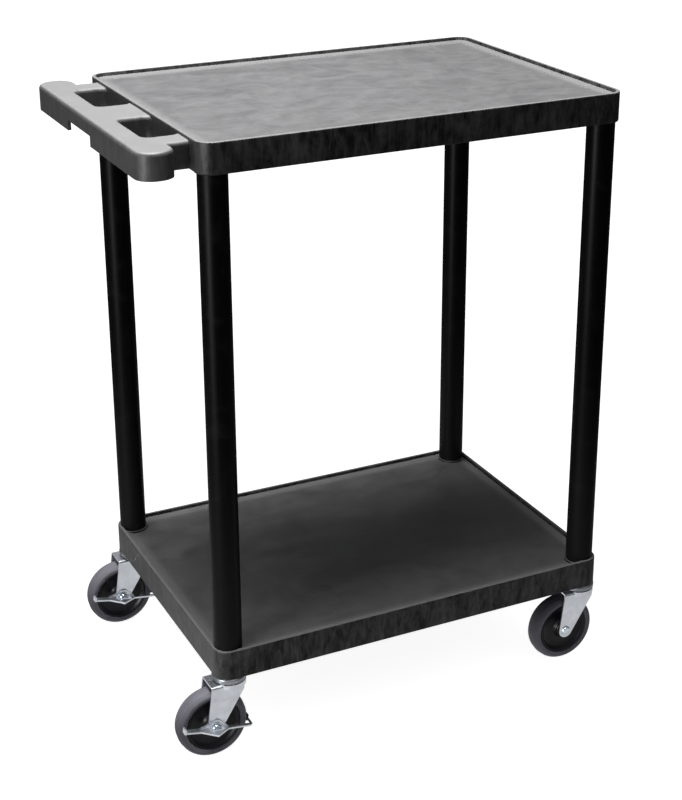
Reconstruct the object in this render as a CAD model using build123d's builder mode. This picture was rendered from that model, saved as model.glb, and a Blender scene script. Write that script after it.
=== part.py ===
from build123d import *
import os
from math import atan2, cos, degrees, radians, sin, tan

# Two-shelf service trolley on four swivel casters, two of them braked.
# Millimetres. +Z is up, the floor is Z = 0, +X is forward, and the push handle is at the -X end.
# The origin is the middle of the whole trolley's footprint.

os.makedirs("parts", exist_ok=True)

# ---------------------------------------------------------------- driving dimensions
# shelves
shelf_length = 610.0
shelf_width = 436.0
corner_radius = 22.0
skin = 5.0               # wall of the structural-foam mouldings
lip_depth = 6.5          # how far the tray floor lies below the rim
lip_draft = 22.0         # slope of the rim's inner wall, degrees
border_width = 10.0      # band that falls gently from the rim's foot to the tray floor
border_fall = 2.2
edge_round = 1.6         # rounding along the rim and along the skirt's lower edge
rib = 3.2
rib_depth = 20.0
ribs_along = 6           # ribs that run across the shelf, spread along its length
ribs_across = 4          # ribs that run along the shelf, spread over its width
top_rim_z = 868.0
top_skirt = 41.0
bottom_rim_z = 164.0
bottom_skirt = 43.0

# legs and their sockets
leg_radius = 19.5
leg_wall = 3.2
leg_inset = 23.0         # leg axis from the shelf's two outer faces
socket_radius = 22.5
collar_height = 2.5
ledge = 2.5              # floor of the lower sockets, which the legs stand on

# handle
handle_reach = 77.0      # from the shelf's end to the outside of the grip
handle_drop = 4.0        # handle's top below the rim
handle_depth = 35.0
handle_wall = 4.5
grip_width = 50.0        # at the rounded ends, which stand out past the arms
grip_end_radius = 23.0
arms_span = 361.0
neck_radius = 6.0
handle_edge = 5.5        # rounding of the handle's upper edges
hole_depth = 44.0        # hand hole, along X, starting at the shelf's end wall
hole_length = 103.0      # hand hole, along Y
hole_offset = 90.0       # middle of a hand hole from the middle of the handle
hole_radius = 10.0
hole_lining = 4.0
notch_length = 95.0
notch_height = 14.0
notch_offset = 21.0      # the notch's middle from the middle of the handle

# casters
wheel_radius = 50.8
tyre_width = 28.0
core_radius = 39.0
core_width = 25.0
hub_radius = 13.0
hub_width = 29.0
trail = 29.0             # axle behind the swivel axis
axle_radius = 4.0
sleeve_radius = 6.0
running = 0.05           # radial clearance of a part that turns
fork_inside = 31.6
fork_plate = 2.3
fork_top = 112.0
fork_front = 15.0        # front of the cheeks, ahead of the swivel axis
fork_rear = 32.0         # back of the cheeks, behind the swivel axis
fork_shoulder = 101.0
fork_end_radius = 11.0
crown_radius = 23.5
crown_rim = 6.5
kingpin_radius = 6.0
stem_radius = 5.5
stem_top = 163.0
ring_groove = 0.9
ring_height = 8.0
ball_radius = 2.4
ball_circle = 17.0
ball_count = 16
race_radius = 24.0

# brakes
lever_tilt = 10.0        # the pedal slopes down towards the front
lever_plate = 2.4
cam_radius = 7.2
cam_offset = 2.5
cam_height = 3.2
web_radius = 9.6
retainer_radius = 8.8
retainer_height = 1.2
shoe_gap = 0.5           # shoe to tread with the brake off

# ---------------------------------------------------------------- worked-out places
fork_half = fork_inside / 2 + fork_plate
pedal_reach = fork_half + 22.5                 # outer point of the pedal from the wheel's middle plane
leg_dx = shelf_length / 2 - leg_inset
leg_dy = shelf_width / 2 - leg_inset
pedal_overhang = pedal_reach - leg_inset       # pedal past the shelf's side
shelf_x = handle_reach / 2
shelf_y = pedal_overhang / 2
rear_face = shelf_x - shelf_length / 2
bottom_z = bottom_rim_z - bottom_skirt
corners = {
    "front_left": (shelf_x + leg_dx, shelf_y + leg_dy),
    "front_right": (shelf_x + leg_dx, shelf_y - leg_dy),
    "rear_left": (shelf_x - leg_dx, shelf_y + leg_dy),
    "rear_right": (shelf_x - leg_dx, shelf_y - leg_dy),
}
braked = ("rear_left", "rear_right")


# ---------------------------------------------------------------- shelves
def shelf_outside(rim_z, skirt):
    """Adds the solid block of a shelf, rounded at its upright corners and along its outer edges."""
    with BuildSketch(Plane((shelf_x, shelf_y, rim_z - skirt))) as outline:
        RectangleRounded(shelf_length, shelf_width, corner_radius)
    block = extrude(outline.sketch, amount=skirt)
    levels = block.edges().group_by(Axis.Z)
    fillet(levels[0] + levels[-1], edge_round)


def shelf_inside(rim_z, skirt):
    """Cuts the tray recess and the hollow underneath, then puts the ribs and leg sockets in the hollow."""
    hollow = skirt - lip_depth - skin
    with BuildSketch(Plane((shelf_x, shelf_y, rim_z))) as tray:
        RectangleRounded(shelf_length - 2 * skin, shelf_width - 2 * skin, corner_radius - skin)
    extrude(tray.sketch, amount=-lip_depth + border_fall, taper=lip_draft, mode=Mode.SUBTRACT)
    foot = skin + (lip_depth - border_fall) * tan(radians(lip_draft))
    with BuildSketch(Plane((shelf_x, shelf_y, rim_z - lip_depth + border_fall))) as border:
        RectangleRounded(shelf_length - 2 * foot, shelf_width - 2 * foot, corner_radius - foot)
    border_draft = degrees(atan2(border_width, border_fall))
    extrude(border.sketch, amount=-border_fall, taper=border_draft, mode=Mode.SUBTRACT)
    with BuildSketch(Plane((shelf_x, shelf_y, rim_z - skirt))) as underside:
        RectangleRounded(shelf_length - 2 * skin, shelf_width - 2 * skin, corner_radius - skin)
    extrude(underside.sketch, amount=hollow, mode=Mode.SUBTRACT)
    with BuildSketch(Plane((shelf_x, shelf_y, rim_z - skirt + hollow - rib_depth))) as ribs:
        with GridLocations((shelf_length - 2 * leg_inset) / (ribs_along + 1), 0, ribs_along, 1):
            Rectangle(rib, shelf_width - skin)
        with GridLocations(0, (shelf_width - 2 * leg_inset) / (ribs_across + 1), 1, ribs_across):
            Rectangle(shelf_length - skin, rib)
    extrude(ribs.sketch, amount=rib_depth)
    with BuildSketch(Plane((shelf_x, shelf_y, rim_z - skirt))) as sockets:
        with GridLocations(2 * leg_dx, 2 * leg_dy, 2, 2):
            Circle(socket_radius)
    extrude(sockets.sketch, amount=hollow)


with BuildPart() as top_shelf:
    # handle: a grip with rounded ends, standing out on a wide neck, as one block to begin with
    handle_top = top_rim_z - handle_drop
    grip_x = rear_face - handle_reach + grip_width / 2
    neck_end = rear_face + 3 * skin
    neck_start = grip_x
    with BuildSketch(Plane((0, shelf_y, handle_top))) as handle_outline:
        with Locations((grip_x, 0)):
            RectangleRounded(grip_width, shelf_width, grip_end_radius)
        with Locations(((neck_start + neck_end) / 2, 0)):
            Rectangle(neck_end - neck_start, arms_span)
        inner_corners = handle_outline.vertices().filter_by_position(
            Axis.X, grip_x + grip_width / 2 - 0.1, grip_x + grip_width / 2 + 0.1
        )
        fillet([v for v in inner_corners if abs(abs(v.Y - shelf_y) - arms_span / 2) < 0.1], neck_radius)
        hole_x = rear_face - hole_depth / 2
        with Locations((hole_x, hole_offset), (hole_x, -hole_offset)):
            RectangleRounded(hole_depth, hole_length, hole_radius, mode=Mode.SUBTRACT)
    handle = extrude(amount=-handle_depth)
    handle_edges = handle.edges().group_by(Axis.Z)[-1]
    fillet(handle_edges.filter_by(lambda e: e.center().X < neck_end - 1), handle_edge)

    shelf_outside(top_rim_z, top_skirt)
    shelf_inside(top_rim_z, top_skirt)

    # the handle is open underneath, with a lining wall round each hand hole
    cavity_end = rear_face - 0.1
    with BuildSketch(Plane((0, shelf_y, handle_top - handle_depth))) as handle_cavity:
        with Locations((grip_x, 0)):
            RectangleRounded(
                grip_width - 2 * handle_wall, shelf_width - 2 * handle_wall, grip_end_radius - handle_wall
            )
        with Locations(((neck_start + cavity_end) / 2, 0)):
            Rectangle(cavity_end - neck_start, arms_span - 2 * handle_wall)
        with Locations((hole_x, hole_offset), (hole_x, -hole_offset)):
            RectangleRounded(
                hole_depth + 2 * hole_lining,
                hole_length + 2 * hole_lining,
                hole_radius + hole_lining,
                mode=Mode.SUBTRACT,
            )
    extrude(amount=handle_depth - handle_wall - 1.5, mode=Mode.SUBTRACT)

    # notch in the lower edge of the grip's outer wall
    with BuildSketch(Plane((rear_face - handle_reach, shelf_y + notch_offset, handle_top - handle_depth))):
        Rectangle(3 * handle_wall, notch_length)
    extrude(amount=notch_height, mode=Mode.SUBTRACT)

    # blind sockets for the legs
    with BuildSketch(Plane((shelf_x, shelf_y, top_rim_z - top_skirt))):
        with GridLocations(2 * leg_dx, 2 * leg_dy, 2, 2):
            Circle(leg_radius)
    extrude(amount=top_skirt - lip_depth - skin, mode=Mode.SUBTRACT)
top_shelf.part.label = "top_shelf"
export_step(top_shelf.part, "parts/top_shelf.step")

with BuildPart() as bottom_shelf:
    shelf_outside(bottom_rim_z, bottom_skirt)
    shelf_inside(bottom_rim_z, bottom_skirt)
    # low collars where the legs come up through the tray
    with BuildSketch(Plane((shelf_x, shelf_y, bottom_rim_z - lip_depth - 1))):
        with GridLocations(2 * leg_dx, 2 * leg_dy, 2, 2):
            Circle(socket_radius - 0.5)
    extrude(amount=collar_height + 1)
    with BuildSketch(Plane((shelf_x, shelf_y, bottom_z + ledge))):
        with GridLocations(2 * leg_dx, 2 * leg_dy, 2, 2):
            Circle(leg_radius)
    extrude(amount=bottom_skirt, mode=Mode.SUBTRACT)
    with BuildSketch(Plane((shelf_x, shelf_y, bottom_z))):
        with GridLocations(2 * leg_dx, 2 * leg_dy, 2, 2):
            Circle(leg_radius - 2 * leg_wall)
    extrude(amount=ledge, mode=Mode.SUBTRACT)
bottom_shelf.part.label = "bottom_shelf"
export_step(bottom_shelf.part, "parts/bottom_shelf.step")

# ---------------------------------------------------------------- legs and caster sockets
leg_top = top_rim_z - lip_depth - skin
for corner, (cx, cy) in corners.items():
    with BuildPart() as leg:
        with BuildSketch(Plane((cx, cy, bottom_z + ledge))):
            Circle(leg_radius)
            Circle(leg_radius - leg_wall, mode=Mode.SUBTRACT)
        extrude(amount=leg_top - bottom_z - ledge)
    leg.part.label = f"leg_{corner}"
    export_step(leg.part, f"parts/leg_{corner}.step")

    with BuildPart() as caster_socket:
        with BuildSketch(Plane((cx, cy, bottom_z))):
            Circle(leg_radius - 2 * leg_wall)
        extrude(amount=ledge)
        with BuildSketch(Plane((cx, cy, bottom_z + ledge))):
            Circle(leg_radius - leg_wall)
        extrude(amount=stem_top - bottom_z + 2)
        with BuildSketch(Plane((cx, cy, bottom_z))):
            Circle(stem_radius + 0.1)
        extrude(amount=stem_top - bottom_z + 1, mode=Mode.SUBTRACT)
    caster_socket.part.label = f"caster_socket_{corner}"
    export_step(caster_socket.part, f"parts/caster_socket_{corner}.step")

# ---------------------------------------------------------------- swivel: stems, grip rings, balls
ball_z = fork_top + ball_radius + running
race_z = ball_z + ball_radius + running
groove_top = stem_top - 6
for corner, (cx, cy) in corners.items():
    with BuildPart() as stem:
        with BuildSketch(Plane(origin=(cx, cy, 0), x_dir=(1, 0, 0), z_dir=(0, -1, 0))):
            with BuildLine():
                Polyline(
                    (0, fork_top - 7.5),
                    (8.0, fork_top - 7.5),
                    (9.0, fork_top - 6.5),
                    (9.0, fork_top - fork_plate - 0.3),
                    (kingpin_radius, fork_top - fork_plate - 0.3),
                    (kingpin_radius, race_z),
                    (race_radius - 2.0, race_z),
                    (race_radius - 2.0, race_z - 2.6),
                    (race_radius, race_z - 2.6),
                )
                Line((race_radius, race_z - 2.6), (race_radius, bottom_z - 2.5))
                TangentArc((race_radius, bottom_z - 2.5), (race_radius - 2.5, bottom_z), tangent=(0, 1))
                Polyline(
                    (race_radius - 2.5, bottom_z),
                    (stem_radius, bottom_z),
                    (stem_radius, groove_top - ring_height),
                    (stem_radius - ring_groove, groove_top - ring_height),
                    (stem_radius - ring_groove, groove_top),
                    (stem_radius, groove_top),
                    (stem_radius, stem_top - 1),
                    (stem_radius - 1, stem_top),
                    (0, stem_top),
                    (0, fork_top - 7.5),
                )
            make_face()
        revolve(axis=Axis((cx, cy, 0), (0, 0, 1)))
    stem.part.label = f"stem_{corner}"
    export_step(stem.part, f"parts/stem_{corner}.step")

    with BuildPart() as bearing_balls:
        with Locations(Plane((cx, cy, ball_z))):
            with PolarLocations(ball_circle, ball_count):
                Sphere(ball_radius)
    bearing_balls.part.label = f"bearing_balls_{corner}"
    export_step(bearing_balls.part, f"parts/bearing_balls_{corner}.step")

with BuildPart() as grip_rings:
    with BuildSketch(Plane((shelf_x, shelf_y, groove_top - ring_height + 0.5))):
        with GridLocations(2 * leg_dx, 2 * leg_dy, 2, 2):
            Circle(stem_radius + running)
            Circle(stem_radius - ring_groove + running, mode=Mode.SUBTRACT)
        with GridLocations(2 * leg_dx, 2 * leg_dy, 2, 2):
            with Locations((stem_radius, 0)):
                Rectangle(2 * stem_radius, 1.5, mode=Mode.SUBTRACT)
    extrude(amount=ring_height - 1)
grip_rings.part.label = "grip_rings"
export_step(grip_rings.part, "parts/grip_rings.step")

# ---------------------------------------------------------------- forks
for corner, (cx, cy) in corners.items():
    side = Plane(origin=(cx, cy, 0), x_dir=(1, 0, 0), z_dir=(0, -1, 0))
    with BuildPart() as fork:
        # both cheeks and the flat top as one bent channel
        with BuildSketch(side):
            with Locations((-trail, wheel_radius)):
                Circle(fork_end_radius)
            with Locations(((fork_front - fork_rear) / 2, (fork_top + fork_shoulder) / 2)):
                Rectangle(fork_front + fork_rear, fork_top - fork_shoulder)
            make_hull()
        channel = extrude(amount=fork_half, both=True)
        bends = channel.edges().filter_by(Axis.X).group_by(Axis.Z)[-1]
        fillet(bends, 3.2)
        with BuildSketch(side):
            with Locations((-trail, (fork_top - fork_plate) / 2)):
                Rectangle(4 * wheel_radius, fork_top - fork_plate)
        extrude(amount=fork_inside / 2, both=True, mode=Mode.SUBTRACT)
        # round crown with a turned-down rim, open towards the wheel
        with BuildSketch(Plane((cx, cy, fork_top - crown_rim))):
            Circle(crown_radius)
            Circle(crown_radius - fork_plate, mode=Mode.SUBTRACT)
            with Locations((-crown_radius, 0)):
                Rectangle(2 * crown_radius, fork_inside, mode=Mode.SUBTRACT)
        extrude(amount=crown_rim - fork_plate)
        with BuildSketch(Plane((cx, cy, fork_top - fork_plate))):
            Circle(crown_radius)
        extrude(amount=fork_plate)
        with BuildSketch(Plane((cx, cy, fork_top))):
            Circle(kingpin_radius + running)
        extrude(amount=-fork_plate, mode=Mode.SUBTRACT)
        # axle holes
        with BuildSketch(side):
            with Locations((-trail, wheel_radius)):
                Circle(axle_radius + 2 * running)
        extrude(amount=fork_half, both=True, mode=Mode.SUBTRACT)
    fork.part.label = f"fork_{corner}"
    export_step(fork.part, f"parts/fork_{corner}.step")

# ---------------------------------------------------------------- wheels and axles
half_tyre = tyre_width / 2
half_core = core_width / 2
for corner, (cx, cy) in corners.items():
    ax = cx - trail
    # sections are drawn as radius up, width along +Y, and turned about the axle
    section = Plane(origin=(ax, cy, wheel_radius), x_dir=(0, 1, 0), z_dir=(1, 0, 0))
    axle_line = Axis((ax, cy, wheel_radius), (0, 1, 0))

    with BuildPart() as tyre:
        with BuildSketch(section):
            with BuildLine():
                ThreePointArc((-half_tyre + 3, wheel_radius - 3.2), (0, wheel_radius),
                              (half_tyre - 3, wheel_radius - 3.2))
                ThreePointArc((half_tyre - 3, wheel_radius - 3.2), (half_tyre - 0.4, wheel_radius - 6.2),
                              (half_tyre, wheel_radius - 8.4))
                Polyline(
                    (half_tyre, wheel_radius - 8.4),
                    (half_core, core_radius),
                    (-half_core, core_radius),
                    (-half_tyre, wheel_radius - 8.4),
                )
                ThreePointArc((-half_tyre, wheel_radius - 8.4), (-half_tyre + 0.4, wheel_radius - 6.2),
                              (-half_tyre + 3, wheel_radius - 3.2))
            make_face()
        revolve(axis=axle_line)
    tyre.part.label = f"tyre_{corner}"
    export_step(tyre.part, f"parts/tyre_{corner}.step")

    with BuildPart() as wheel_core:
        with BuildSketch(section):
            bore = sleeve_radius + running
            with Locations((0, (core_radius + core_radius - 5) / 2)):
                Rectangle(core_width, 5)
            with Locations((0, (bore + core_radius - 2) / 2)):
                Rectangle(7, core_radius - 2 - bore)
            with Locations((0, (bore + hub_radius) / 2)):
                Rectangle(hub_width, hub_radius - bore)
            with BuildLine():
                Polyline(
                    (-10, hub_radius - 1),
                    (10, hub_radius - 1),
                    (3.5, hub_radius + 9),
                    (-3.5, hub_radius + 9),
                    (-10, hub_radius - 1),
                )
            make_face()
        revolve(axis=axle_line)
    wheel_core.part.label = f"wheel_core_{corner}"
    export_step(wheel_core.part, f"parts/wheel_core_{corner}.step")

    with BuildPart() as axle_sleeve:
        with BuildSketch(Plane(origin=(ax, cy + fork_inside / 2 - running, wheel_radius), z_dir=(0, -1, 0))):
            Circle(sleeve_radius)
            Circle(axle_radius + running, mode=Mode.SUBTRACT)
        extrude(amount=fork_inside - 2 * running)
    axle_sleeve.part.label = f"axle_sleeve_{corner}"
    export_step(axle_sleeve.part, f"parts/axle_sleeve_{corner}.step")

    # the bolt goes in from the right-hand side; a braked axle is longer by the cam and its retainer
    stack = cam_height + retainer_height if corner in braked else 0
    with BuildPart() as axle_bolt:
        with BuildSketch(section):
            with BuildLine():
                Polyline(
                    (-fork_half - stack, 0),
                    (fork_half + 8.0, 0),
                    (fork_half + 8.0, axle_radius - 0.6),
                    (fork_half + 7.4, axle_radius),
                    (-fork_half - stack, axle_radius),
                    (-fork_half - stack, 7.0),
                    (-fork_half - stack - 1.3, 7.0),
                )
                head_edge = TangentArc(
                    (-fork_half - stack - 1.3, 7.0), (-fork_half - stack - 3.3, 5.0), tangent=(-1, 0)
                )
                Polyline(head_edge @ 1, (-fork_half - stack - 3.3, 0), (-fork_half - stack, 0))
            make_face()
        revolve(axis=axle_line)
    axle_bolt.part.label = f"axle_bolt_{corner}"
    export_step(axle_bolt.part, f"parts/axle_bolt_{corner}.step")

    with BuildPart() as axle_nut:
        with BuildSketch(Plane(origin=(ax, cy + fork_half + 6.5, wheel_radius), z_dir=(0, -1, 0))):
            RegularPolygon(6.5, 6, major_radius=False)
            Circle(axle_radius, mode=Mode.SUBTRACT)
        extrude(amount=6.5)
        chamfer(axle_nut.edges().group_by(Axis.Y)[-1].filter_by(GeomType.LINE), 0.7)
    axle_nut.part.label = f"axle_nut_{corner}"
    export_step(axle_nut.part, f"parts/axle_nut_{corner}.step")

# ---------------------------------------------------------------- brakes
tilt_x = (cos(radians(lever_tilt)), 0, -sin(radians(lever_tilt)))
tilt_up = (sin(radians(lever_tilt)), 0, cos(radians(lever_tilt)))
for corner in braked:
    cx, cy = corners[corner]
    axle = Vector(cx - trail, cy, wheel_radius)
    # plane against the cheek's outer face, turned to the pedal's slope, looking out from the wheel
    face = Plane(origin=axle + Vector(0, -fork_half, 0), x_dir=tilt_x, z_dir=(0, -1, 0))
    # plane through the axle in which the pedal is flat; its x is along the pedal, its y is +Y
    flat = Plane(origin=axle, x_dir=tilt_x, z_dir=tilt_up)

    with BuildPart() as brake_cam:
        with BuildSketch(face):
            with Locations((0, cam_offset)):
                Circle(cam_radius)
            Circle(axle_radius + running, mode=Mode.SUBTRACT)
        extrude(amount=cam_height)
    brake_cam.part.label = f"brake_cam_{corner}"
    export_step(brake_cam.part, f"parts/brake_cam_{corner}.step")

    with BuildPart() as brake_retainer:
        with BuildSketch(face.offset(cam_height)):
            Circle(retainer_radius)
            Circle(axle_radius + running, mode=Mode.SUBTRACT)
        extrude(amount=retainer_height)
    brake_retainer.part.label = f"brake_retainer_{corner}"
    export_step(brake_retainer.part, f"parts/brake_retainer_{corner}.step")

    pedal_z = -1.6
    pedal_inner = -fork_half - 0.4
    shoe_face = wheel_radius + shoe_gap
    shoe_inner = 2.0
    arm_in = shoe_face + 0.9
    arm_out = arm_in + 2.2
    with BuildPart() as brake_lever:
        # upright web that turns on the cam
        with BuildSketch(face.offset(0.4)):
            with Locations((0, cam_offset)):
                Circle(web_radius)
            with Locations((-3, pedal_z + lever_plate / 2)):
                Rectangle(44, lever_plate)
            make_hull()
            with Locations((0, cam_offset)):
                Circle(cam_radius + running, mode=Mode.SUBTRACT)
        extrude(amount=lever_plate)
        # pedal: a strip that widens to a blunt point, with an arm that reaches in over the tread
        with BuildSketch(flat.offset(pedal_z)):
            with BuildLine():
                Polyline(
                    (-46, pedal_inner),
                    (arm_in, pedal_inner),
                    (arm_in, shoe_inner),
                    (arm_out, shoe_inner),
                    (arm_out, pedal_inner - 1.5),
                    (arm_out - 4, pedal_inner - 4.5),
                    (17, pedal_inner - 6.5),
                    (-4, -pedal_reach),
                    (-24, pedal_inner - 9.5),
                    (-46, pedal_inner - 8),
                    (-46, pedal_inner),
                )
            make_face()
            with Locations((0, pedal_inner - lever_plate - 4)):
                Rectangle(2 * retainer_radius + 6, 8.6, mode=Mode.SUBTRACT)
        extrude(amount=lever_plate)
        # turned-up tail
        with BuildSketch(flat.offset(pedal_z)):
            with Locations((-47, pedal_inner - 4.5)):
                Rectangle(lever_plate, 9)
        extrude(amount=7)
        # clear the retainer and the bolt's head below the pedal's level
        with BuildSketch(face.offset(0.4)):
            with Locations((0, cam_offset)):
                Circle(cam_radius + running)
        extrude(amount=lever_plate, mode=Mode.SUBTRACT)
    brake_lever.part.label = f"brake_lever_{corner}"
    export_step(brake_lever.part, f"parts/brake_lever_{corner}.step")

    with BuildPart() as brake_shoe:
        with BuildSketch(flat.offset(pedal_z - 3)):
            with Locations(((shoe_face + arm_out + 0.8) / 2, shoe_inner - 2)):
                RectangleRounded(arm_out + 0.8 - shoe_face, 8, 0.8)
        extrude(amount=lever_plate + 6)
        with BuildSketch(flat.offset(pedal_z)):
            with Locations(((arm_in + arm_out) / 2, shoe_inner - 10)):
                Rectangle(arm_out - arm_in, 20)
        extrude(amount=lever_plate, mode=Mode.SUBTRACT)
    brake_shoe.part.label = f"brake_shoe_{corner}"
    export_step(brake_shoe.part, f"parts/brake_shoe_{corner}.step")
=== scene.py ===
from math import cos, pi, radians, sin

import bpy
from mathutils import Matrix, Vector


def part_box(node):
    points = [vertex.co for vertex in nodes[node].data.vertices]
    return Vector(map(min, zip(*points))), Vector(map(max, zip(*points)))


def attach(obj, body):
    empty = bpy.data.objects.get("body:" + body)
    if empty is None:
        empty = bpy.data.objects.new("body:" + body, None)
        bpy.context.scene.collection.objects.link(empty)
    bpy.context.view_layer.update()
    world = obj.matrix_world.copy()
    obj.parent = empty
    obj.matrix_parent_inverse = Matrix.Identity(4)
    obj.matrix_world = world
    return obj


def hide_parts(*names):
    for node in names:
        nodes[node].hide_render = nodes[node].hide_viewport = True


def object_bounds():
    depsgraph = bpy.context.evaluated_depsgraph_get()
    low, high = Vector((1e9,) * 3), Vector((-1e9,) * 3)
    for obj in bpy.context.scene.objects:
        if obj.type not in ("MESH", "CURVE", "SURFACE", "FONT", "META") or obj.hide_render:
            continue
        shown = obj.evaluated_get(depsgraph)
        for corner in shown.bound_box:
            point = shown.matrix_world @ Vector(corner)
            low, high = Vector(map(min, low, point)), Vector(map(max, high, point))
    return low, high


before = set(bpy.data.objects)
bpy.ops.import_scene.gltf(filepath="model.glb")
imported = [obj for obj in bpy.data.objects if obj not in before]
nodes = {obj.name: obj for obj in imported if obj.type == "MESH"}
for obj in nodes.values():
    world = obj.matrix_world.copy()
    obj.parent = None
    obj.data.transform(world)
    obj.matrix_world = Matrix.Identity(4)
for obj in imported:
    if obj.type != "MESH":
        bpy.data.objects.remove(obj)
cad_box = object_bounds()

CORNERS = ("front_left", "front_right", "rear_left", "rear_right")
scene = bpy.context.scene


# ---------------------------------------------------------------- places from the frame
top_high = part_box("top_shelf")[1]
bottom_low, bottom_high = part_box("bottom_shelf")
shelf_mid = (bottom_low + bottom_high) / 2
half_x = (bottom_high.x - bottom_low.x) / 2
half_y = (bottom_high.y - bottom_low.y) / 2


# ---------------------------------------------------------------- camera
def put_camera():
    azimuth, elevation, roll = -0.4476, 0.3617, -0.0052
    back = Vector((sin(azimuth) * cos(elevation), -cos(azimuth) * cos(elevation), sin(elevation)))
    right = Vector((cos(azimuth), sin(azimuth), 0))
    up = back.cross(right)
    x_axis = right * cos(roll) + up * sin(roll)
    y_axis = up * cos(roll) - right * sin(roll)
    matrix = Matrix((x_axis, y_axis, back)).transposed().to_4x4()
    matrix.translation = (shelf_mid.x - 0.9882, shelf_mid.y - 2.0253, bottom_high.z + 1.2081)
    data = bpy.data.cameras.new("camera")
    data.lens = 74.91
    data.sensor_width = 36
    data.shift_y = -0.1
    data.clip_start, data.clip_end = 0.05, 100
    camera = bpy.data.objects.new("camera", data)
    camera.matrix_world = matrix
    scene.collection.objects.link(camera)
    scene.camera = camera


put_camera()
scene.view_settings.view_transform = "Standard"


# ---------------------------------------------------------------- node helpers
class Graph:
    """A material or world node tree, with short ways to add and join nodes."""

    def __init__(self, owner):
        owner.use_nodes = True
        self.tree = owner.node_tree
        self.tree.nodes.clear()

    def put(self, socket, value):
        if isinstance(value, bpy.types.NodeSocket):
            self.tree.links.new(value, socket)
        elif value is not None:
            socket.default_value = value

    def add(self, kind, inputs=(), **settings):
        node = self.tree.nodes.new(kind)
        for name, value in settings.items():
            setattr(node, name, value)
        for key, value in dict(inputs).items():
            self.put(node.inputs[key], value)
        return node

    def math(self, operation, a, b=None, c=None, clamp=False):
        node = self.add("ShaderNodeMath", operation=operation, use_clamp=clamp)
        for socket, value in zip(node.inputs, (a, b, c)):
            self.put(socket, value)
        return node.outputs[0]

    def noise(self, where, scale, detail=4.0, rough=0.5, distortion=0.0):
        node = self.add("ShaderNodeTexNoise", {
            "Vector": where, "Scale": scale, "Detail": detail, "Roughness": rough, "Distortion": distortion})
        return node.outputs["Fac"]

    def stretch(self, where, scale):
        node = self.add("ShaderNodeVectorMath", operation="MULTIPLY")
        self.put(node.inputs[0], where)
        node.inputs[1].default_value = scale
        return node.outputs[0]

    def span(self, value, low, high, to_low=0.0, to_high=1.0, smooth=False):
        node = self.add("ShaderNodeMapRange", {
            "Value": value, "From Min": low, "From Max": high, "To Min": to_low, "To Max": to_high})
        if smooth:
            node.interpolation_type = "SMOOTHSTEP"
        return node.outputs["Result"]

    def blend(self, amount, a, b):
        node = self.add("ShaderNodeMix", data_type="RGBA")
        for key, value in ((0, amount), (6, a), (7, b)):
            self.put(node.inputs[key], value)
        return node.outputs[2]

    def bump(self, height, strength, distance, normal=None):
        node = self.add("ShaderNodeBump", {"Height": height, "Strength": strength, "Distance": distance})
        self.put(node.inputs["Normal"], normal)
        return node.outputs["Normal"]


def rgb(*linear):
    return (*linear, 1.0)


def material(name):
    made = bpy.data.materials.new(name)
    graph = Graph(made)
    graph.place = graph.add("ShaderNodeTexCoord").outputs["Object"]
    return made, graph


def finish_material(graph, **inputs):
    shader = graph.add("ShaderNodeBsdfPrincipled")
    for name, value in inputs.items():
        graph.put(shader.inputs[name.replace("_", " ")], value)
    out = graph.add("ShaderNodeOutputMaterial")
    graph.tree.links.new(shader.outputs[0], out.inputs["Surface"])


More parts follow.
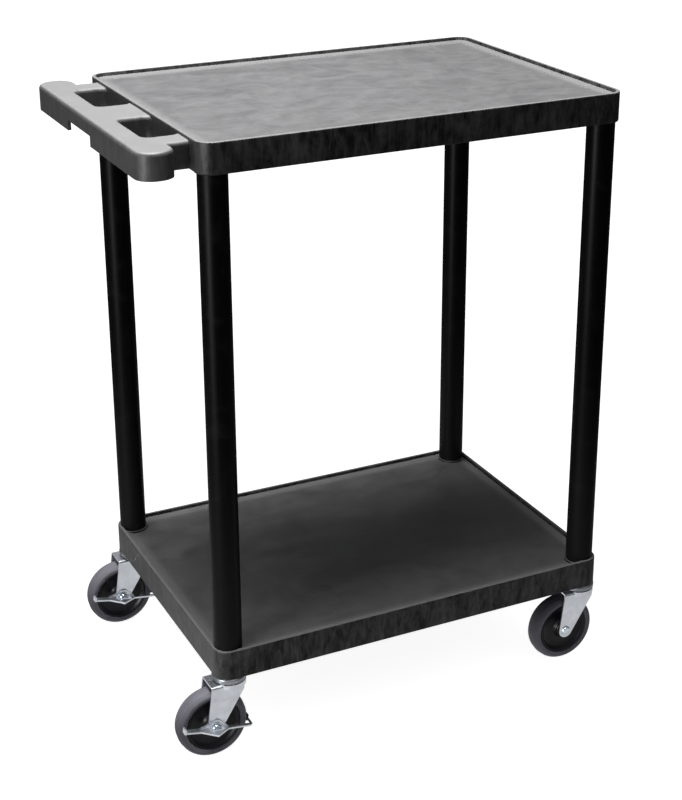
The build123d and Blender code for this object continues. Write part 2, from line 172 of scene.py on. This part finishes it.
# ---------------------------------------------------------------- materials
def shelf_plastic(name, dark, light):
    """Structural-foam plastic: swirled moulding marks, with painted light: a tray floor far paler than the
    painted-shade sides, a painted highlight band along the rim and a lighter handle.
    """
    made, g = material(name)
    xyz = g.add("ShaderNodeSeparateXYZ", {"Vector": g.place}).outputs
    normal = g.add("ShaderNodeNewGeometry").outputs["Normal"]
    # painted light: a mask of up-facing faces, which take a far paler colour than the sides of the same
    # plastic
    up_facing_painted_light = g.span(g.add("ShaderNodeSeparateXYZ", {"Vector": normal}).outputs[2], 0.6, 0.98, smooth=True)
    swirl = g.noise(g.place, 26.0, 8.0, 0.66, 0.9)
    streak = g.noise(g.stretch(g.place, (15.0, 30.0, 30.0)), 1.0, 6.0, 0.62, 0.6)
    drips = g.noise(g.stretch(g.place, (95.0, 95.0, 26.0)), 1.0, 6.0, 0.68, 0.7)
    speck = g.noise(g.place, 260.0, 3.0, 0.6)
    mottle = g.math("ADD", g.math("MULTIPLY", swirl, 0.6), g.math("MULTIPLY", streak, 0.4))
    mottle = g.span(mottle, 0.36, 0.64)
    # distance in from the shelf's outline, for the painted highlight band round the tray
    in_x = g.math("SUBTRACT", half_x, g.math("ABSOLUTE", g.math("SUBTRACT", xyz[0], shelf_mid.x)))
    in_y = g.math("SUBTRACT", half_y, g.math("ABSOLUTE", g.math("SUBTRACT", xyz[1], shelf_mid.y)))
    inset = g.math("ADD", g.math("MINIMUM", in_x, in_y), g.math("MULTIPLY", swirl, 0.006))
    rim_painted_highlight = g.span(inset, 0.030, 0.014, smooth=True)
    foam = g.span(g.math("ADD", g.math("MULTIPLY", drips, 0.65), g.math("MULTIPLY", swirl, 0.35)), 0.40, 0.64)
    # painted shade: the sides take a far darker colour than the tray floor, with the foam marks laid over it
    side_painted_shade = g.blend(foam, rgb(0.0008, 0.0008, 0.0009), rgb(0.0125, 0.0125, 0.013))
    # painted light: the handle end gets a lighter colour on its side and on its top
    handle_painted_light = g.span(xyz[0], bottom_low.x + 0.004, bottom_low.x - 0.001)
    side_painted_shade = g.blend(g.math("MULTIPLY", handle_painted_light, 0.75), side_painted_shade, rgb(0.034, 0.034, 0.035))
    floor = g.blend(mottle, rgb(*dark), rgb(*light))
    # painted highlight: a paler band along the rim of the tray floor
    floor = g.blend(g.math("MULTIPLY", rim_painted_highlight, 0.6), floor, rgb(0.085, 0.085, 0.086))
    floor = g.blend(g.math("MULTIPLY", handle_painted_light, 0.8), floor, rgb(0.080, 0.080, 0.081))
    # painted light and shade: up-facing faces take the pale floor colour, the rest the darkened side colour
    colour = g.blend(up_facing_painted_light, side_painted_shade, floor)
    rough = g.math("ADD", g.span(mottle, 0, 1, 0.42, 0.56), g.math("MULTIPLY", speck, 0.06))
    height = g.math("ADD", g.math("MULTIPLY", swirl, 0.7), g.math("MULTIPLY", streak, 0.5))
    relief = g.bump(height, 0.55, 0.0012)
    relief = g.bump(speck, 0.25, 0.0002, relief)
    side_shine = g.blend(foam, rgb(0.16, 0.16, 0.16), rgb(0.5, 0.5, 0.5))
    shine = g.blend(up_facing_painted_light, side_shine, rgb(0.2, 0.2, 0.2))
    finish_material(g, Base_Color=colour, Roughness=rough, Specular_IOR_Level=g.span(shine, 0, 1),
                    Normal=relief)
    return made


def leg_plastic():
    """Extruded tube: faint lengthwise drawing lines and a few scuffs."""
    made, g = material("leg_plastic")
    lines = g.noise(g.stretch(g.place, (420.0, 420.0, 3.0)), 1.0, 4.0, 0.6)
    scuff = g.span(g.noise(g.place, 24.0, 6.0, 0.65, 1.0), 0.52, 0.72)
    height = g.add("ShaderNodeSeparateXYZ", {"Vector": g.place}).outputs[2]
    # painted light: the legs get a lighter colour towards the bottom, for light bounced up from the floor
    low_painted_bounce_light = g.span(height, bottom_high.z + 0.34, bottom_high.z, smooth=True)
    colour = g.blend(scuff, rgb(0.0006, 0.0006, 0.0007), rgb(0.0022, 0.0022, 0.0024))
    colour = g.blend(g.math("MULTIPLY", low_painted_bounce_light, 0.6), colour, rgb(0.0055, 0.0055, 0.0058))
    rough = g.math("ADD", g.span(lines, 0.3, 0.7, 0.34, 0.44), g.math("MULTIPLY", scuff, 0.08))
    finish_material(g, Base_Color=colour, Roughness=rough, Specular_IOR_Level=0.055,
                    Normal=g.bump(lines, 0.3, 0.0002))
    return made


def plain_plastic(name, dark, light, gloss, shine=0.4):
    """Moulded plastic with a fine grain."""
    made, g = material(name)
    grain = g.noise(g.place, 900.0, 3.0, 0.6)
    cloud = g.noise(g.place, 40.0, 5.0, 0.6, 0.6)
    colour = g.blend(g.span(cloud, 0.35, 0.65), rgb(*dark), rgb(*light))
    rough = g.span(cloud, 0.3, 0.7, gloss - 0.05, gloss + 0.05)
    rough = g.math("ADD", rough, g.math("MULTIPLY", grain, 0.05))
    finish_material(g, Base_Color=colour, Roughness=rough, Specular_IOR_Level=shine,
                    Normal=g.bump(grain, 0.2, 0.0001))
    return made


def plated_steel(name, dark, light, gloss, grain=(160.0, 160.0, 1400.0)):
    """Zinc-plated sheet: a soft rolled grain under cloudy plating, duller where it has been handled."""
    made, g = material(name)
    rolled = g.noise(g.stretch(g.place, grain), 1.0, 3.0, 0.6)
    cloud = g.noise(g.place, 55.0, 5.0, 0.62, 0.8)
    spot = g.span(g.noise(g.place, 210.0, 4.0, 0.65, 0.4), 0.58, 0.72)
    colour = g.blend(g.span(cloud, 0.34, 0.66), rgb(*dark), rgb(*light))
    colour = g.blend(g.math("MULTIPLY", spot, 0.25), colour, rgb(0.42, 0.44, 0.46))
    rough = g.span(cloud, 0.3, 0.7, gloss - 0.05, gloss + 0.06)
    rough = g.math("ADD", rough, g.math("MULTIPLY", rolled, 0.08))
    finish_material(g, Base_Color=colour, Metallic=1.0, Roughness=rough, Normal=g.bump(rolled, 0.12, 0.0001))
    return made


def tyre_rubber():
    """Non-marking grey rubber, dusty on the tread."""
    made, g = material("tyre_rubber")
    cloud = g.noise(g.place, 34.0, 6.0, 0.65, 0.8)
    grain = g.noise(g.place, 1100.0, 2.0, 0.6)
    dust = g.span(g.noise(g.place, 130.0, 4.0, 0.7), 0.5, 0.75)
    colour = g.blend(g.span(cloud, 0.32, 0.68), rgb(0.074, 0.073, 0.088), rgb(0.104, 0.102, 0.121))
    colour = g.blend(g.math("MULTIPLY", dust, 0.3), colour, rgb(0.14, 0.138, 0.15))
    finish_material(g, Base_Color=colour, Roughness=g.span(cloud, 0.3, 0.7, 0.58, 0.72),
                    Specular_IOR_Level=0.4, Normal=g.bump(grain, 0.25, 0.0001))
    return made


materials = {
    "legs": leg_plastic(),
    "top": shelf_plastic("top_shelf_plastic", (0.036, 0.036, 0.037), (0.052, 0.052, 0.053)),
    # painted shade: the bottom shelf, the same plastic as the top shelf, gets darker colours for the shade
    # under the top shelf
    "bottom": shelf_plastic("bottom_shelf_plastic_painted_shade", (0.024, 0.024, 0.025), (0.046, 0.046, 0.047)),
    "socket": plain_plastic("socket_plastic", (0.012, 0.012, 0.012), (0.02, 0.02, 0.02), 0.5),
    "core": plain_plastic("wheel_core_plastic", (0.0022, 0.0022, 0.003), (0.005, 0.005, 0.0068), 0.36, 0.2),
    "shoe": plain_plastic("shoe_rubber", (0.008, 0.008, 0.008), (0.014, 0.014, 0.014), 0.7),
    "zinc": plated_steel("zinc_plate", (0.62, 0.64, 0.69), (0.76, 0.79, 0.84), 0.27),
    "stem": plated_steel("stem_plate", (0.20, 0.21, 0.23), (0.34, 0.35, 0.38), 0.32),
    "bolt": plated_steel("bolt_plate", (0.52, 0.58, 0.63), (0.70, 0.78, 0.84), 0.2, (300.0, 300.0, 300.0)),
    "spring": plated_steel("spring_steel", (0.30, 0.30, 0.31), (0.42, 0.42, 0.43), 0.34),
    "ball": plated_steel("bearing_steel", (0.62, 0.62, 0.64), (0.74, 0.74, 0.76), 0.12, (90.0, 90.0, 90.0)),
    "tyre": tyre_rubber(),
}
STEMS = {
    "top_shelf": "top", "bottom_shelf": "bottom", "leg_": "legs", "caster_socket_": "socket",
    "stem_": "stem", "grip_rings": "spring", "fork_": "zinc", "bearing_balls_": "ball", "axle_bolt_": "bolt",
    "axle_nut_": "bolt", "axle_sleeve_": "ball", "wheel_core_": "core", "tyre_": "tyre", "brake_cam_": "bolt",
    "brake_retainer_": "bolt", "brake_lever_": "zinc", "brake_shoe_": "shoe",
}
for name, node in nodes.items():
    key = next(STEMS[s] for s in STEMS if name.startswith(s))
    for material_slot in node.material_slots:
        material_slot.material = materials[key]


# ---------------------------------------------------------------- wheels
SEGMENTS = 144


def lathe(name, profile, centre, body, node, finish):
    """A closed ring turned about the Y axis through centre; profile is (radius, y) in metres."""
    points, faces = [], []
    for step in range(SEGMENTS):
        turn = 2 * pi * step / SEGMENTS
        points += [(centre.x + r * sin(turn), centre.y + y, centre.z + r * cos(turn)) for r, y in profile]
    count = len(profile)
    for step in range(SEGMENTS):
        here, there = step * count, (step + 1) % SEGMENTS * count
        for i in range(count):
            j = (i + 1) % count
            faces.append((here + i, there + i, there + j, here + j))
    mesh = bpy.data.meshes.new(name)
    mesh.from_pydata(points, [], faces)
    mesh.update()
    mesh.shade_smooth()
    mesh.set_sharp_from_angle(angle=radians(38))
    ring = bpy.data.objects.new(name, mesh)
    scene.collection.objects.link(ring)
    ring.data.materials.append(finish)
    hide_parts(node)
    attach(ring, body)
    return ring


def mirrored(half):
    """A profile's +Y half, outside edge to bore, closed by its mirror image."""
    return half + [(r, -y) for r, y in reversed(half)]


def rounded(corners, steps=5):
    """The same open profile with every inner corner cut by a short curve."""
    made = [corners[0]]
    for before, at, after in zip(corners, corners[1:], corners[2:]):
        a = [(p + q) / 2 if abs(p - q) < 0.002 else q + (p - q) * 0.3 for p, q in zip(before, at)]
        b = [(p + q) / 2 if abs(p - q) < 0.002 else q + (p - q) * 0.3 for p, q in zip(after, at)]
        for k in range(steps + 1):
            t = k / steps
            start, bend, end = (1 - t) ** 2, 2 * t * (1 - t), t * t
            made.append(tuple(start * u + bend * v + end * w for u, v, w in zip(a, at, b)))
    return made + [corners[-1]]


def put_wheel(corner):
    low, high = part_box(f"tyre_{corner}")
    centre = (low + high) / 2
    radius, half = (high.z - low.z) / 2, (high.y - low.y) / 2
    core_low, core_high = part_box(f"wheel_core_{corner}")
    rim, hub = (core_high.z - core_low.z) / 2, (core_high.y - core_low.y) / 2
    tyre = [(radius, 0.0), (radius - 0.0004, 0.0005), (radius - 0.0005, 0.0040),
            (radius - 0.0015, half - 0.0050), (radius - 0.0045, half - 0.0012),
            (radius - 0.0070, half), (rim + 0.0035, half - 0.0004),
            (rim + 0.0026, half - 0.0014), (rim + 0.0012, half - 0.0012), (rim + 0.0001, half - 0.0028),
            (rim + 0.0001, 0.002)]
    core = [(rim, 0.002), (rim, half - 0.0030), (rim - 0.0014, half - 0.0022), (rim - 0.0030, half - 0.0030),
            (rim - 0.0065, half - 0.0065), (0.024, half - 0.0085), (0.0160, half - 0.0078),
            (0.0130, half - 0.0040), (0.0118, hub - 0.0006), (0.0098, hub), (0.0064, hub),
            (0.0062, hub - 0.001), (0.0062, 0.002)]
    lathe(f"moulded_tyre_{corner}", mirrored(rounded(tyre)), centre, f"wheel_{corner}", f"tyre_{corner}",
          materials["tyre"])
    lathe(f"moulded_core_{corner}", mirrored(rounded(core)), centre, f"wheel_{corner}",
          f"wheel_core_{corner}", materials["core"])


for corner in CORNERS:
    put_wheel(corner)


# ---------------------------------------------------------------- floor, world and lights
def put_floor():
    bpy.ops.mesh.primitive_plane_add(size=60, location=(0, 0, cad_box[0].z))
    floor = bpy.context.object
    floor.name = "floor"
    made, g = material("floor")
    tone = g.span(g.noise(g.place, 1.5, 3.0), 0.3, 0.7, 0.86, 0.88)
    finish_material(g, Base_Color=g.blend(tone, rgb(0, 0, 0), rgb(1, 1, 1)), Roughness=0.9,
                    Specular_IOR_Level=0.1, Emission_Color=rgb(1, 1, 1), Emission_Strength=0.9)
    floor.data.materials.append(made)
    floor.visible_diffuse = False
    floor.visible_glossy = False
    return floor


def put_world():
    world = bpy.data.worlds.new("studio")
    scene.world = world
    g = Graph(world)
    direction = g.add("ShaderNodeTexCoord").outputs["Generated"]
    xyz = g.add("ShaderNodeSeparateXYZ", {"Vector": direction}).outputs
    level = g.math("ADD", g.span(xyz[2], 0.2, 0.9, 0.08, 0.5), g.span(xyz[0], -0.3, -1.0, 0.0, 0.12))
    seen = g.add("ShaderNodeLightPath").outputs["Is Camera Ray"]
    strength = g.math("ADD", g.math("MULTIPLY", level, g.math("SUBTRACT", 1.0, seen)), seen)
    background = g.add("ShaderNodeBackground", {"Color": rgb(1, 1, 1), "Strength": strength})
    out = g.add("ShaderNodeOutputWorld")
    g.tree.links.new(background.outputs[0], out.inputs["Surface"])


def put_light(name, at, towards, size, watts, colour=(1, 1, 1), spread=180.0, spared=()):
    data = bpy.data.lights.new(name, "AREA")
    data.shape = "RECTANGLE"
    data.size, data.size_y = size
    data.energy = watts
    data.color = colour
    data.spread = radians(spread)
    light = bpy.data.objects.new(name, data)
    light.location = at
    light.rotation_euler = (Vector(towards) - Vector(at)).to_track_quat("-Z", "Y").to_euler()
    scene.collection.objects.link(light)
    light.visible_camera = False
    if spared:
        group = bpy.data.collections.new(name + "_spared")
        for piece in spared:
            group.objects.link(piece)
        for entry in group.collection_objects:
            entry.light_linking.link_state = "EXCLUDE"
        light.light_linking.receiver_collection = group
    return light


floor = put_floor()
put_world()
centre = Vector((shelf_mid.x, shelf_mid.y, top_high.z))
ground = Vector((shelf_mid.x, shelf_mid.y, cad_box[0].z - 0.002))
put_light("overhead", centre + Vector((-0.3, 0.05, 1.6)), centre, (1.2, 1.0), 82.0,
          spread=110.0, spared=[floor])
put_light("left_strip", ground + Vector((-2.1, -1.0, 0.55)), ground + Vector((0, 0, 0.3)), (0.5, 1.0), 15.0,
          spread=90.0, spared=[floor, *(bpy.data.objects[f"moulded_tyre_{corner}"] for corner in CORNERS)])
for radius, radiance in ((0.62, 0.36), (1.05, 0.24)):
    bounce = put_light(f"floor_bounce_{round(radius * 100)}", ground + Vector((-0.1, -0.1, -0.004 * radius)),
                       ground + Vector((-0.1, -0.1, 1)), (2 * radius, 2 * radius),
                       radiance * pi ** 2 * radius ** 2, spared=[floor])
    bounce.data.shape = "DISK"
